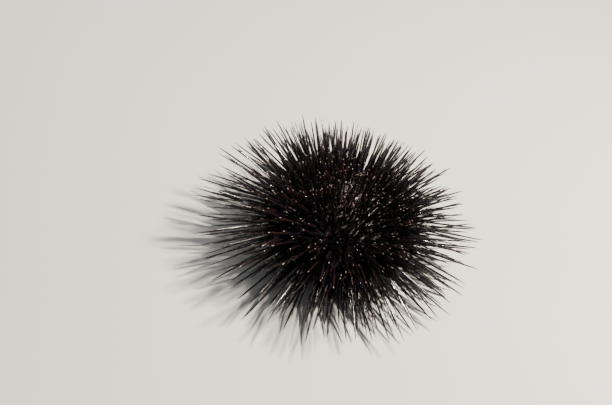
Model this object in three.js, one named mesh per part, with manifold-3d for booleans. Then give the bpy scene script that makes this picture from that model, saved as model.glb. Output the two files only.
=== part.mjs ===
// A purple sea urchin at life size, alive and standing on its lower spines on a flat floor.
// Millimetres, +Z up. The mouth faces the floor, and -Y is the side that faces the viewer.
// The test is parted into five ambulacra and five interambulacra by thin cuts, as an
// orange is into segments, and every spine is fused to the segment that it grows from.

import * as THREE from "three";
import { mergeVertices } from "three/addons/utils/BufferGeometryUtils.js";
import Module from "manifold-3d";

const wasm = await Module();
wasm.setup();

// The test, which is the round shell with its thin skin.
const TEST_RADIUS = 23;
const AMBITUS_Z = 15.5;
const APEX_RISE = 14;
const ORAL_DROP = 9;
const ORAL_FULLNESS = 0.8;
const TEST_SIDES = 40;
const RINGS_PER_HALF = 6;
const CUT_OVERRUN = 1;
const MERGE_WITHIN = 1e-4;

// The ten segments. Five narrow ambulacra alternate with five wide interambulacra.
const SYMMETRY = 5;
const TURN = 360 / SYMMETRY;
const FIRST_AMBULACRUM_AT = -90;
const AMBULACRUM_HALF_WIDTH = 14;
const INTERAMBULACRUM_HALF_WIDTH = TURN / 2 - AMBULACRUM_HALF_WIDTH;
const GAP = 0.3;

// The apical disc on top and the peristome, the soft mouth skin, below.
const APICAL_RADIUS = 4.6;
const APICAL_DEPTH = 3;
const APICAL_SIDES = 20;
const PERIPROCT_RADIUS = 1.3;
const PERIPROCT_HEIGHT = 0.7;
const GENITAL_PLATE_RADIUS = 1.1;
const GENITAL_PLATE_HEIGHT = 0.4;
const GENITAL_PLATE_AT = 2.5;
const APICAL_SPINES_AT = 3.6;
const APICAL_SPINE_SHARE = 0.6;
const BOSS_SIDES = 6;
const BOSS_TOP_SHARE = 0.6;
const BOSS_SUNK = 1;
const PERISTOME_RADIUS = 9;
const PERISTOME_THICKNESS = 2.6;
const PERISTOME_SIDES = 30;
const PERISTOME_INSET = 0.6;
const LIP_RADIUS = 4.4;
const LIP_DROP = 0.9;
const POCKET_RADIUS = 3.2;
const POCKET_DEPTH = 0.9;
const TOOTH_LENGTH = 3.4;
const TOOTH_WIDTH = 1.8;
const TOOTH_TIP_AT = 0.7;
const TOOTH_INNER_AT = 0.72;

// Spines. Lanes are rows up a segment, as shares of its half width.
const AMBULACRUM_LANES = [-0.62, 0, 0.62];
const INTERAMBULACRUM_LANES = [-0.76, -0.27, 0.27, 0.76];
const LANE_STEP = 2.45;
const LANE_STAGGER = 0.5;
const FIRST_ROW_AT = 0.3;
const OUTER_LANE_SHARE = 0.6;
const OUTER_LANE_FROM_RADIUS = 12;
const LATITUDE_STEP = 0.1;
const SPINE_SIDES = 3;
const ROOT_SUNK = 1.3;
const ROOT_RADIUS = 0.72;
const SMALL_ROOT_RADIUS = 0.52;
const LEAST_ROOT_RADIUS = 0.5;
const WAIST_AT = 0.55;
const WAIST_SHARE = 0.66;
const FOOT_SHARE = 0.8;
const SPINE_GAP = 0.3;
const SEGMENT_MARGIN = 0.3;
const CLEARANCE_SAMPLES = 10;

// Spine lengths. The spread reaches furthest to the front and a little to the left, and is
// wider from side to side than from front to back.
const AMBITAL_LENGTH = 29.3;
const LONGEST_TOWARDS = 250;
const LONGER_BY = 4.2;
const WIDEST_TOWARDS = 6;
const WIDER_BY = 2.6;
const APICAL_LENGTH = 11;
const ORAL_LENGTH = 10;
const LENGTH_SPREAD = 0.1;
const SHORTENING_BELOW = 1.6;
const SHORTENING_ABOVE = 0.8;

// How spines stand. Low ones rest on the floor on small flats, and the ones above them
// are lifted to run clear of it.
const LEAN_SPREAD = 11;
const CORE_Z = 8;
const CORE_SHARE = 0.35;
const RESTING_BELOW_Z = 9;
const FLOOR_CLEARANCE = 0.9;
const FOOT_SUNK = 0.5;
const FLOOR_SIZE = 140;
const LEAST_SLANT = 0.6;
const PLACING_TRIES = 14;

// What each repeatable draw is for. A spine is drawn a new lean, and the sideways turn that
// follows it, at each try.
const FOR_LENGTH = 1;
const FOR_LEAN = 2;
const FOR_CLEARANCE = 40;
const SEGMENT_NUMBERS = 1000;
const LANE_NUMBERS = 100;
const APICAL_NUMBERS = 20000;
const PLATE_NUMBERS = 10;

const radians = THREE.MathUtils.degToRad;
const degrees = THREE.MathUtils.radToDeg;
const lerp = THREE.MathUtils.lerp;

// A repeatable draw from 0 to 1 for a numbered thing and a purpose.
function draw(thing, purpose) {
  const mixed = Math.sin(thing * 12.9898 + purpose * 78.233) * 43758.5453;
  return mixed - Math.floor(mixed);
}

// The same, from -1 to 1.
function sway(thing, purpose) {
  return 2 * draw(thing, purpose) - 1;
}

// The test's outline at a latitude in degrees: 90 is the apex, 0 the ambitus.
function outlineAt(latitude) {
  const angle = radians(Math.abs(latitude));
  if (latitude >= 0) {
    return new THREE.Vector2(
      TEST_RADIUS * Math.cos(angle),
      AMBITUS_Z + APEX_RISE * Math.sin(angle),
    );
  }
  return new THREE.Vector2(
    TEST_RADIUS * Math.max(Math.cos(angle), 0) ** ORAL_FULLNESS,
    AMBITUS_Z - ORAL_DROP * Math.sin(angle) ** ORAL_FULLNESS,
  );
}

// The elevation of the outline's outward normal at a latitude, in degrees.
function normalElevationAt(latitude) {
  const along = outlineAt(latitude + 1).sub(outlineAt(latitude - 1));
  return degrees(Math.atan2(-along.x, along.y));
}

// Latitudes in even steps of arc length, upwards from just outside the peristome to just
// outside the apical disc.
function evenLatitudes(step) {
  const found = [];
  let walked = 0;
  let last = outlineAt(-90);
  for (let latitude = -90; latitude <= 90; latitude += LATITUDE_STEP) {
    const here = outlineAt(latitude);
    const inside = latitude < 0 ? PERISTOME_RADIUS : APICAL_RADIUS;
    if (here.x > inside + ROOT_RADIUS + GAP) {
      walked += here.distanceTo(last);
    }
    last = here;
    if (walked >= step * (found.length + FIRST_ROW_AT)) {
      found.push(latitude);
    }
  }
  return found;
}

// A closed geometry as a solid for joining and cutting.
function solidOf(geometry) {
  const bare = geometry.clone();
  bare.deleteAttribute("normal");
  bare.deleteAttribute("uv");
  const merged = mergeVertices(bare, MERGE_WITHIN);
  return new wasm.Manifold(
    new wasm.Mesh({
      numProp: 3,
      vertProperties: merged.attributes.position.array,
      triVerts: new Uint32Array(merged.index.array),
    }),
  );
}

// The largest closed surface of a solid, back as a geometry.
function geometryOf(solid) {
  const bodies = solid.decompose();
  bodies.sort((a, b) => b.volume() - a.volume());
  const mesh = bodies[0].getMesh();
  const geometry = new THREE.BufferGeometry();
  const positions = new THREE.BufferAttribute(mesh.vertProperties, 3);
  geometry.setAttribute("position", positions);
  geometry.setIndex(new THREE.BufferAttribute(mesh.triVerts, 1));
  geometry.computeVertexNormals();
  return geometry;
}

function join(solids) {
  return solids.reduce((all, one) => all.add(one));
}

// A body turned about Z, from a profile of [radius, height] pairs read upwards.
function turned(profile, sides) {
  const points = profile.map(([radius, height]) => new THREE.Vector2(radius, height));
  const geometry = new THREE.LatheGeometry(points, sides);
  return geometry.rotateX(Math.PI / 2);
}

// The whole test, with its recesses for the apical disc and the peristome.
function wholeTest() {
  const profile = [];
  for (let ring = -RINGS_PER_HALF; ring <= RINGS_PER_HALF; ring += 1) {
    const point = outlineAt((90 * ring) / RINGS_PER_HALF);
    profile.push([Math.abs(ring) === RINGS_PER_HALF ? 0 : point.x, point.y]);
  }
  const top = AMBITUS_Z + APEX_RISE;
  const bottom = AMBITUS_Z - ORAL_DROP;
  const apicalRecess = turned(
    [
      [0, top - APICAL_DEPTH],
      [APICAL_RADIUS + GAP, top - APICAL_DEPTH],
      [APICAL_RADIUS + GAP, top + CUT_OVERRUN],
      [0, top + CUT_OVERRUN],
    ],
    TEST_SIDES,
  );
  const roof = bottom + PERISTOME_INSET + PERISTOME_THICKNESS + GAP;
  const oralRecess = turned(
    [
      [0, bottom - CUT_OVERRUN],
      [PERISTOME_RADIUS + GAP, bottom - CUT_OVERRUN],
      [PERISTOME_RADIUS + GAP, roof],
      [0, roof],
    ],
    TEST_SIDES,
  );
  return solidOf(turned(profile, TEST_SIDES))
    .subtract(solidOf(apicalRecess))
    .subtract(solidOf(oralRecess));
}

// The wedge of space that holds one segment, with half the gap taken off each side.
function wedge(centre, halfWidth) {
  const reach = 2 * TEST_RADIUS;
  const setBack = GAP / 2 / Math.sin(radians(halfWidth));
  const shape = new THREE.Shape();
  shape.moveTo(setBack, 0);
  shape.lineTo(setBack + reach, -reach * Math.tan(radians(halfWidth)));
  shape.lineTo(setBack + reach, reach * Math.tan(radians(halfWidth)));
  shape.closePath();
  const tall = AMBITUS_Z + APEX_RISE + CUT_OVERRUN;
  const geometry = new THREE.ExtrudeGeometry(shape, { depth: tall, bevelEnabled: false });
  return solidOf(geometry.rotateZ(radians(centre)));
}

// How long a spine is, by the direction it faces and how high up the test it grows.
function lengthOf(azimuth, latitude, number) {
  const facing = radians(azimuth);
  const ambital =
    AMBITAL_LENGTH +
    LONGER_BY * Math.cos(facing - radians(LONGEST_TOWARDS)) +
    WIDER_BY * Math.cos(2 * (facing - radians(WIDEST_TOWARDS)));
  const away = Math.abs(latitude) / 90;
  const even =
    latitude < 0
      ? lerp(ambital, ORAL_LENGTH, away ** SHORTENING_BELOW)
      : lerp(ambital, APICAL_LENGTH, away ** SHORTENING_ABOVE);
  return even * (1 + LENGTH_SPREAD * sway(number, FOR_LENGTH));
}

// The point and direction of a spine, which either rests on the floor or clears it.
function spineAt(azimuth, latitude, number, attempt) {
  const outline = outlineAt(latitude);
  const around = radians(azimuth);
  const root = new THREE.Vector3(
    outline.x * Math.cos(around),
    outline.x * Math.sin(around),
    outline.y,
  );
  const calm = 1 - attempt / PLACING_TRIES;
  const purpose = FOR_LEAN + attempt * 2;
  const outwards = degrees(Math.atan2(outline.y - CORE_Z, outline.x));
  const upright = lerp(normalElevationAt(latitude), outwards, CORE_SHARE);
  let length = lengthOf(azimuth, latitude, number);
  let elevation = upright + LEAN_SPREAD * calm * sway(number, purpose);
  const yaw = azimuth + LEAN_SPREAD * calm * sway(number, purpose + 1);
  const resting = latitude < 0 && outline.y < RESTING_BELOW_Z;
  const lowest = resting ? -FOOT_SUNK : FLOOR_CLEARANCE * (1 + draw(number, FOR_CLEARANCE));
  const floorElevation = degrees(Math.asin(Math.max(-1, (lowest - outline.y) / length)));
  if (resting) {
    length = Math.max(length, outline.y + FOOT_SUNK + LEAST_SLANT);
    elevation = degrees(Math.asin((lowest - outline.y) / length));
  } else {
    elevation = Math.max(elevation, floorElevation);
  }
  const direction = new THREE.Vector3(
    Math.cos(radians(elevation)) * Math.cos(radians(yaw)),
    Math.cos(radians(elevation)) * Math.sin(radians(yaw)),
    Math.sin(radians(elevation)),
  );
  const fullness = Math.min(1, length / AMBITAL_LENGTH);
  const radius = lerp(SMALL_ROOT_RADIUS, ROOT_RADIUS, fullness);
  return { root, direction, length, radius, resting };
}

function radiusAlong(spine, share) {
  return share < WAIST_AT
    ? lerp(spine.radius, spine.radius * WAIST_SHARE, share / WAIST_AT)
    : lerp(spine.radius * WAIST_SHARE, 0, (share - WAIST_AT) / (1 - WAIST_AT));
}

// The least clear space between two straight tapered spines, sampled along the shorter.
function clearance(a, b) {
  const [short, long] = a.length < b.length ? [a, b] : [b, a];
  let least = Infinity;
  const point = new THREE.Vector3();
  const foot = new THREE.Vector3();
  for (let step = 0; step <= CLEARANCE_SAMPLES; step += 1) {
    const share = step / CLEARANCE_SAMPLES;
    point.copy(short.root).addScaledVector(short.direction, share * short.length);
    const along = foot.copy(point).sub(long.root).dot(long.direction);
    const kept = THREE.MathUtils.clamp(along, 0, long.length);
    foot.copy(long.root).addScaledVector(long.direction, kept);
    const space = point.distanceTo(foot);
    const thickness = radiusAlong(short, share) + radiusAlong(long, kept / long.length);
    least = Math.min(least, space - thickness);
  }
  return least;
}

// The spines of one segment, each drawn again until it stands clear of those before it.
function spinesOf(segment, placed) {
  const own = [];
  segment.lanes.forEach((lane, laneNumber) => {
    const isOuter = Math.abs(lane) > OUTER_LANE_SHARE;
    const stagger = laneNumber % 2 === 0 ? 0 : LANE_STAGGER;
    evenLatitudes(LANE_STEP).forEach((even, step, all) => {
      const next = all[Math.min(step + 1, all.length - 1)];
      const latitude = lerp(even, next, stagger);
      const radiusHere = outlineAt(latitude).x;
      if (isOuter && radiusHere < OUTER_LANE_FROM_RADIUS) {
        return;
      }
      const number = segment.number * SEGMENT_NUMBERS + laneNumber * LANE_NUMBERS + step;
      const azimuth = segment.centre + lane * segment.halfWidth;
      for (let attempt = 0; attempt <= PLACING_TRIES; attempt += 1) {
        const spine = spineAt(azimuth, latitude, number, attempt);
        const room = radiusHere * Math.sin(radians(segment.halfWidth * (1 - Math.abs(lane))));
        spine.radius = Math.min(spine.radius, room - GAP / 2 - SEGMENT_MARGIN);
        if (spine.radius < LEAST_ROOT_RADIUS) {
          return;
        }
        if (placed.every((other) => clearance(spine, other) > SPINE_GAP)) {
          placed.push(spine);
          own.push(spine);
          return;
        }
      }
    });
  });
  return own;
}

// A tapered spine with its root sunk in the test. A resting one stays thick to its foot.
function spineSolid(spine) {
  const waist = spine.radius * WAIST_SHARE;
  const tip = spine.resting ? [[waist * FOOT_SHARE, spine.length]] : [];
  const geometry = turned(
    [
      [0, -ROOT_SUNK],
      [spine.radius, -ROOT_SUNK],
      [waist, spine.length * WAIST_AT],
      ...tip,
      [0, spine.length],
    ],
    SPINE_SIDES,
  );
  const up = new THREE.Vector3(0, 0, 1);
  const turn = new THREE.Quaternion().setFromUnitVectors(up, spine.direction);
  geometry.applyQuaternion(turn);
  geometry.translate(spine.root.x, spine.root.y, spine.root.z);
  return solidOf(geometry);
}

// Everything below the floor, which cuts the feet of the resting spines flat.
function belowFloor() {
  const block = new THREE.BoxGeometry(FLOOR_SIZE, FLOOR_SIZE, FLOOR_SIZE);
  return solidOf(block.translate(0, 0, -FLOOR_SIZE / 2));
}

// The apical disc: the anal area in the middle, five genital plates round it, and a few
// short spines.
function apicalDisc(placed) {
  const top = AMBITUS_Z + APEX_RISE;
  const plateZ = outlineAt(degrees(Math.acos(APICAL_RADIUS / TEST_RADIUS))).y;
  const plug = turned(
    [
      [0, top - APICAL_DEPTH + GAP],
      [APICAL_RADIUS, top - APICAL_DEPTH + GAP],
      [APICAL_RADIUS, plateZ],
      [APICAL_RADIUS / 2, top],
      [0, top],
    ],
    APICAL_SIDES,
  );
  const boss = (radius, height) =>
    turned(
      [
        [0, -BOSS_SUNK],
        [radius, -BOSS_SUNK],
        [radius, height / 2],
        [radius * BOSS_TOP_SHARE, height],
        [0, height],
      ],
      BOSS_SIDES,
    );
  const periproct = boss(PERIPROCT_RADIUS, PERIPROCT_HEIGHT).translate(0, 0, top);
  const pieces = [solidOf(plug), solidOf(periproct)];
  for (let i = 0; i < SYMMETRY; i += 1) {
    const azimuth = FIRST_AMBULACRUM_AT + (i + 0.5) * TURN;
    const plate = boss(GENITAL_PLATE_RADIUS, GENITAL_PLATE_HEIGHT);
    plate.translate(GENITAL_PLATE_AT, 0, top);
    pieces.push(solidOf(plate.rotateZ(radians(azimuth))));
    for (const side of [-1, 0, 1]) {
      const latitude = degrees(Math.acos(APICAL_SPINES_AT / TEST_RADIUS));
      const number = APICAL_NUMBERS + PLATE_NUMBERS * i + side;
      const spine = spineAt(azimuth + (side * TURN) / 3, latitude, number, 0);
      spine.length *= APICAL_SPINE_SHARE;
      spine.radius = SMALL_ROOT_RADIUS;
      if (placed.every((other) => clearance(spine, other) > SPINE_GAP)) {
        placed.push(spine);
        pieces.push(spineSolid(spine));
      }
    }
  }
  return join(pieces);
}

// The peristome: a round of soft skin with a thick lip round the pocket of the teeth.
function peristome() {
  const skinZ = AMBITUS_Z - ORAL_DROP + PERISTOME_INSET;
  const profile = [
    [0, skinZ + POCKET_DEPTH],
    [POCKET_RADIUS, skinZ + POCKET_DEPTH],
    [POCKET_RADIUS, skinZ - LIP_DROP],
    [LIP_RADIUS, skinZ - LIP_DROP],
    [LIP_RADIUS + LIP_DROP, skinZ],
    [PERISTOME_RADIUS, skinZ],
    [PERISTOME_RADIUS, skinZ + PERISTOME_THICKNESS],
    [0, skinZ + PERISTOME_THICKNESS],
  ];
  return solidOf(turned(profile, PERISTOME_SIDES));
}

// One of the five teeth, which hang from the pocket and meet under its middle.
function tooth(number) {
  const top = AMBITUS_Z - ORAL_DROP + PERISTOME_INSET + POCKET_DEPTH - GAP;
  const azimuth = FIRST_AMBULACRUM_AT + (number + 0.5) * TURN;
  const side = new THREE.Shape();
  side.moveTo(TOOTH_INNER_AT, top);
  side.lineTo(TOOTH_TIP_AT, top - TOOTH_LENGTH);
  side.lineTo(POCKET_RADIUS - 2 * GAP, top);
  side.closePath();
  const geometry = new THREE.ExtrudeGeometry(side, { depth: TOOTH_WIDTH, bevelEnabled: false });
  geometry.translate(0, 0, -TOOTH_WIDTH / 2);
  geometry.rotateX(Math.PI / 2);
  geometry.rotateZ(radians(azimuth));
  return solidOf(geometry).intersect(wedge(azimuth, TURN / 2));
}

const LIVE_SKIN = new THREE.MeshStandardMaterial({ color: 0x1c1418, roughness: 0.42, metalness: 0 });
const APICAL_SKIN = new THREE.MeshStandardMaterial({ color: 0x2b1d22, roughness: 0.6, metalness: 0 });
const MOUTH_SKIN = new THREE.MeshStandardMaterial({ color: 0x4a3236, roughness: 0.7, metalness: 0 });
const ENAMEL = new THREE.MeshStandardMaterial({ color: 0xe4dccb, roughness: 0.35, metalness: 0 });

const urchin = new THREE.Group();

function add(name, solid, material) {
  const mesh = new THREE.Mesh(geometryOf(solid), material);
  mesh.name = name;
  urchin.add(mesh);
}

const segments = [];
for (let i = 0; i < SYMMETRY; i += 1) {
  segments.push({
    name: `ambulacrum_${i + 1}`,
    number: 2 * i,
    centre: FIRST_AMBULACRUM_AT + i * TURN,
    halfWidth: AMBULACRUM_HALF_WIDTH,
    lanes: AMBULACRUM_LANES,
  });
  segments.push({
    name: `interambulacrum_${i + 1}`,
    number: 2 * i + 1,
    centre: FIRST_AMBULACRUM_AT + (i + 0.5) * TURN,
    halfWidth: INTERAMBULACRUM_HALF_WIDTH,
    lanes: INTERAMBULACRUM_LANES,
  });
}

const test = wholeTest();
const floor = belowFloor();
const placed = [];
for (const segment of segments) {
  const body = test.intersect(wedge(segment.centre, segment.halfWidth));
  const spines = spinesOf(segment, placed).map(spineSolid);
  add(segment.name, join([body, ...spines]).subtract(floor), LIVE_SKIN);
}
add("apical_disc", apicalDisc(placed), APICAL_SKIN);
add("peristome", peristome(), MOUTH_SKIN);
for (let i = 0; i < SYMMETRY; i += 1) {
  add(`tooth_${i + 1}`, tooth(i), ENAMEL);
}

// The origin is on the floor under the middle of the spread.
const middle = new THREE.Box3().setFromObject(urchin).getCenter(new THREE.Vector3());
urchin.position.set(-middle.x, -middle.y, 0);

export default urchin;
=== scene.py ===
"""The looks of a purple sea urchin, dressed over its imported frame. Metres, +Z up."""

import functools
import math

import bmesh
import bpy
import numpy as np
from mathutils import Matrix, Vector


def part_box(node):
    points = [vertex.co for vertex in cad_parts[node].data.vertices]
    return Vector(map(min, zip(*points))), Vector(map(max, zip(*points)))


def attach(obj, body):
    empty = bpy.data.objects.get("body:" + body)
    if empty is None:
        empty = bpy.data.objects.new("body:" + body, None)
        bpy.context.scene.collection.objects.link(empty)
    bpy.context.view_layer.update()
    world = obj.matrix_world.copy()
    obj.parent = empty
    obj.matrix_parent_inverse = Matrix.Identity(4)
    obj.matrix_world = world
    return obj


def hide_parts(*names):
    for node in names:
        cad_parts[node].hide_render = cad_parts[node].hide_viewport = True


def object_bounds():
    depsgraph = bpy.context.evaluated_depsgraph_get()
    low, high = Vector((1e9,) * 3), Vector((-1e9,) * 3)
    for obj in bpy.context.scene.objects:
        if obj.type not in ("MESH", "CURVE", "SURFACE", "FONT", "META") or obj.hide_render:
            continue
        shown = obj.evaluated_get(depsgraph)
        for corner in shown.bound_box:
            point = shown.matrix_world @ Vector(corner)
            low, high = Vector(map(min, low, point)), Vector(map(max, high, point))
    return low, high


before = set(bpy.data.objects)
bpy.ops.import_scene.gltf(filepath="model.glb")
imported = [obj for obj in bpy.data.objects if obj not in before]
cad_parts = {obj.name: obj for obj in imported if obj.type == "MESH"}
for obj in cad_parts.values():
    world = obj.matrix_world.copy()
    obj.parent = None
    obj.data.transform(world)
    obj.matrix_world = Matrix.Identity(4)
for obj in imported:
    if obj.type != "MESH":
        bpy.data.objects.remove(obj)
CAD_LOW, CAD_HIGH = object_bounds()

bl_info = {
    "name": "Purple Sea Urchin",
    "version": (1, 0, 0),
    "blender": (4, 5, 0),
    "location": "View3D > Sidebar > Urchin",
    "description": "Builds the skin, spines, tube feet, mouth and stage of a purple sea urchin",
    "category": "Object",
}

MM = 0.001

# The axis of the test, from the round mouth skin that is turned about it.
MOUTH_LOW, MOUTH_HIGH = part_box("peristome")
AXIS = np.array([(MOUTH_LOW[0] + MOUTH_HIGH[0]) / 2, (MOUTH_LOW[1] + MOUTH_HIGH[1]) / 2, 0.0])

# The test, in millimetres, as the solids have it.
TEST_RADIUS = 23
AMBITUS_Z = 15.5
APEX_RISE = 14
ORAL_DROP = 9
ORAL_FULLNESS = 0.8
SYMMETRY = 5
TURN = 360 / SYMMETRY
FIRST_AMBULACRUM_AT = -90
AMBULACRUM_HALF_WIDTH = 14
INTERAMBULACRUM_HALF_WIDTH = TURN / 2 - AMBULACRUM_HALF_WIDTH
GAP = 0.3
APICAL_RADIUS = 4.6
PERISTOME_RADIUS = 9
PERISTOME_INSET = 0.6
POCKET_RADIUS = 3.2
POCKET_DEPTH = 0.9
LIP_RADIUS = 4.4
TOOTH_LENGTH = 3.4

# The skin over the test. Its depth is how far it lies under the solids' outline.
SKIN_DEPTH = 0.15
SKIN_TUCK_BELOW = 3.9
SKIN_TUCK_ABOVE = 3.1
SKIN_RINGS = 60
SKIN_SIDES = 160

# The main spines, drawn as the solids draw them, so that they stand in the same places.
AMBULACRUM_LANES = (-0.62, 0, 0.62)
INTERAMBULACRUM_LANES = (-0.76, -0.27, 0.27, 0.76)
LANE_STEP = 2.45
LANE_STAGGER = 0.5
FIRST_ROW_AT = 0.3
OUTER_LANE_SHARE = 0.6
OUTER_LANE_FROM_RADIUS = 12
LATITUDE_STEP = 0.1
APICAL_SPINES_AT = 3.6
APICAL_SPINE_SHARE = 0.6
ROOT_RADIUS = 0.72
SMALL_ROOT_RADIUS = 0.52
LEAST_ROOT_RADIUS = 0.5
WAIST_AT = 0.55
WAIST_SHARE = 0.66
SPINE_GAP = 0.3
SEGMENT_MARGIN = 0.3
CLEARANCE_SAMPLES = 10
AMBITAL_LENGTH = 29.3
LONGEST_TOWARDS = 250
LONGER_BY = 4.2
WIDEST_TOWARDS = 6
WIDER_BY = 2.6
APICAL_LENGTH = 11
ORAL_LENGTH = 10
LENGTH_SPREAD = 0.1
SHORTENING_BELOW = 1.6
SHORTENING_ABOVE = 0.8
LEAN_SPREAD = 11
CORE_Z = 8
CORE_SHARE = 0.35
RESTING_BELOW_Z = 9
FLOOR_CLEARANCE = 0.9
FOOT_SUNK = 0.5
LEAST_SLANT = 0.6
PLACING_TRIES = 14
FOR_LENGTH = 1
FOR_LEAN = 2
FOR_CLEARANCE = 40
SEGMENT_NUMBERS = 1000
LANE_NUMBERS = 100
APICAL_NUMBERS = 20000
PLATE_NUMBERS = 10

# The share of the way to the floor that a rendered resting spine reaches.
RESTING_SHARE = 0.995

# The finer spines. Shares are of a main spine's length at the same place.
EXTRA_LEAST_SHARE = 0.8
EXTRA_SHARE_SPREAD = 0.16
EXTRA_THICKNESS = 0.85
EXTRA_OVERLAP = 0.35
EXTRA_TRIES = 9
SECONDARY_SHARES = (0.26, 0.55)
SECONDARY_RADIUS = 0.3
MILIARY_SHARES = (0.07, 0.17)
MILIARY_RADIUS = 0.15
BOSS_HEIGHT = 0.55
BOSS_WIDENING = 1.25
SCATTER_ABOVE_PERISTOME = 0.8
SCATTER_BELOW_APEX = 0.2
SCATTER_SHARE_SWAY = 0.7
SCATTER_AZIMUTH_SWAY = 5
GOLDEN = 180 * (3 - math.sqrt(5))

# Tube feet and pincers. They lean as a spine of this share of the length would.
ORGAN_SHARE = 0.3
FOOT_ROW_STEP = 1.6
FOOT_INSET = 2.5
FOOT_RADIUS = 0.21
UPPER_FOOT_LENGTH = 4.5
LOWER_FOOT_LENGTH = 7.5
FOOT_LEAST_Z = 1
FOOT_BEND = 0.13
PINCERS = 220
PINCER_RADIUS = 0.13
PINCER_BEND = 0.08

# The plates and scales of the apical disc.
GENITAL_PLATES_AT = 2.7
OCULAR_PLATES_AT = 3.85
ANAL_SCALES = 26
ANAL_RADIUS = 1.55

# The mouth's lip, feet and gills. Aside is in degrees, from the middle of a sector.
LIP_FOLDS = 30
LIP_FOLD_DEPTH = 0.09
MOUTH_FEET_AT = 5.8
MOUTH_FEET_ASIDE = 11
GILLS_AT = 8.5
GILLS_ASIDE = 20
GILL_FRONDS = 9

# Where the numbers of the finer spines and small organs start.
EXTRA_NUMBERS = 40000
SECONDARY_NUMBERS = 60000
MILIARY_NUMBERS = 80000
FOOT_NUMBERS = 120000
FOOT_SECTOR_NUMBERS = 1000
FOOT_SIDE_NUMBERS = 500
PINCER_NUMBERS = 130000
MOUTH_FOOT_NUMBERS = 700
GILL_NUMBERS = 800
FOR_AZIMUTH = 3
FOR_LATITUDE = 4
FOR_SIZE = 5
FOR_TONE = 6
FOR_BEND = 7

# Where the spines' lines meet: its height in metres, and its pixel in the picture.
CORE_HEIGHT = 0.0096
CORE_AT = (339, 228)
FRAME_WIDTH = 612
FRAME_MIDDLE = (306, 202.5)
SENSOR_WIDTH = 36

# Lights: name, place, size, energy and colour. They all aim at the middle of the urchin.
LIGHTS = (
    ("key", (0.28, 0.08, 0.5), 0.045, 19.0, (1.0, 0.9, 0.78)),
    ("fill", (-0.45, -0.35, 0.4), 0.5, 1.4, (0.93, 0.96, 1.0)),
    ("rim", (-0.3, 0.45, 0.25), 0.2, 1.6, (1.0, 0.97, 0.94)),
)
LIGHTS_AIM = (0, 0, 0.02)
SKY_COLOUR = (0.9, 0.93, 1.0, 1)
SKY_STRENGTH = 0.17
FLOOR_REACH = 3

# The width of the patch that one repeated form takes on the unwrap.
PATCH = 0.003

# Profiles of the repeated forms: shares of the length, each with a share of the root radius.
LONG_PROFILE = (
    (-0.02, 1.0), (0.01, 1.3), (0.03, 1.4), (0.045, 1.0), (0.4, 0.92),
    (0.7, 0.82), (0.86, 0.64), (0.96, 0.36), (1.0, 0.08),
)
LONG_SIDES = 8
LONG_FLUTE = 0.13
SECONDARY_PROFILE = (
    (-0.04, 1.0), (0.03, 1.35), (0.09, 1.0), (0.55, 0.8), (0.9, 0.5), (0.98, 0.36), (1.0, 0.16),
)
MILIARY_PROFILE = ((-0.05, 1.0), (0.1, 1.3), (0.5, 0.9), (0.95, 0.5), (1.0, 0.2))
BOSS_PROFILE = ((-0.3, 1.0), (0.1, 0.95), (0.45, 0.7), (0.7, 0.45), (1.0, 0.3))
FOOT_PROFILE = (
    (-0.03, 1.0), (0.05, 0.9), (0.2, 0.72), (0.4, 0.8), (0.6, 0.68), (0.8, 0.72),
    (0.92, 0.7), (0.95, 1.5), (0.98, 1.75), (1.0, 1.3),
)
PINCER_PROFILE = (
    (-0.03, 0.9), (0.1, 0.7), (0.6, 0.6), (0.7, 1.0), (0.8, 2.0), (0.9, 1.7), (1.0, 0.4),
)
MOUTH_FOOT_PROFILE = ((-0.1, 1.0), (0.3, 0.8), (0.75, 0.75), (0.85, 1.5), (1.0, 1.3))
GILL_PROFILE = ((-0.1, 1.0), (0.4, 1.2), (0.8, 0.8), (1.0, 0.3))

# Sections of a tooth: share of its length, distance from the axis, half width, half thickness.
TOOTH_SECTIONS = (
    (0.0, 1.65, 0.78, 0.62), (0.3, 1.6, 0.74, 0.55), (0.6, 1.42, 0.62, 0.45),
    (0.8, 1.2, 0.46, 0.33), (0.93, 0.98, 0.28, 0.2), (1.0, 0.84, 0.08, 0.06),
)
TOOTH_SIDES = 10
TOOTH_KEEL = 0.25


def colour_setting(name, description, default):
    """A colour for a group of settings."""
    return bpy.props.FloatVectorProperty(
        name=name, description=description, default=default, size=3, subtype="COLOR"
    )


class UrchinSpines(bpy.types.PropertyGroup):
    extra: bpy.props.IntProperty(
        name="Extra long spines", description="Long spines set between the main ones", default=600
    )
    secondary: bpy.props.IntProperty(
        name="Secondary spines", description="Spines of middling length", default=1500
    )
    miliary: bpy.props.IntProperty(
        name="Miliary spines", description="The smallest spines, close over the skin", default=3200
    )
    slimness: bpy.props.FloatProperty(
        name="Slimness", description="Root radius of a rendered spine, as a share of the solid's",
        default=0.64, subtype="FACTOR",
    )
    bend: bpy.props.FloatProperty(
        name="Bend", description="How far a long spine's middle bows out, as a share of its length",
        default=0.01, subtype="FACTOR",
    )


class UrchinColours(bpy.types.PropertyGroup):
    shaft: colour_setting("Shaft", "Main colour of the spines", (0.0028, 0.0016, 0.0022))
    warm: colour_setting("Warm tip", "Red-brown towards the tips", (0.012, 0.0052, 0.004))
    # The pale grey tip colour is a painted glint: it stands for light caught on the very tips of
    # some spines.
    glint_painted: colour_setting("Glint_painted tip", "Pale grey where tips are worn", (0.36, 0.31, 0.29))
    violet: colour_setting("Violet", "Tint of some spines and the skin", (0.005, 0.0022, 0.0055))
    feet: colour_setting("Tube feet", "Colour of the tube feet", (0.05, 0.02, 0.02))


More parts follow.
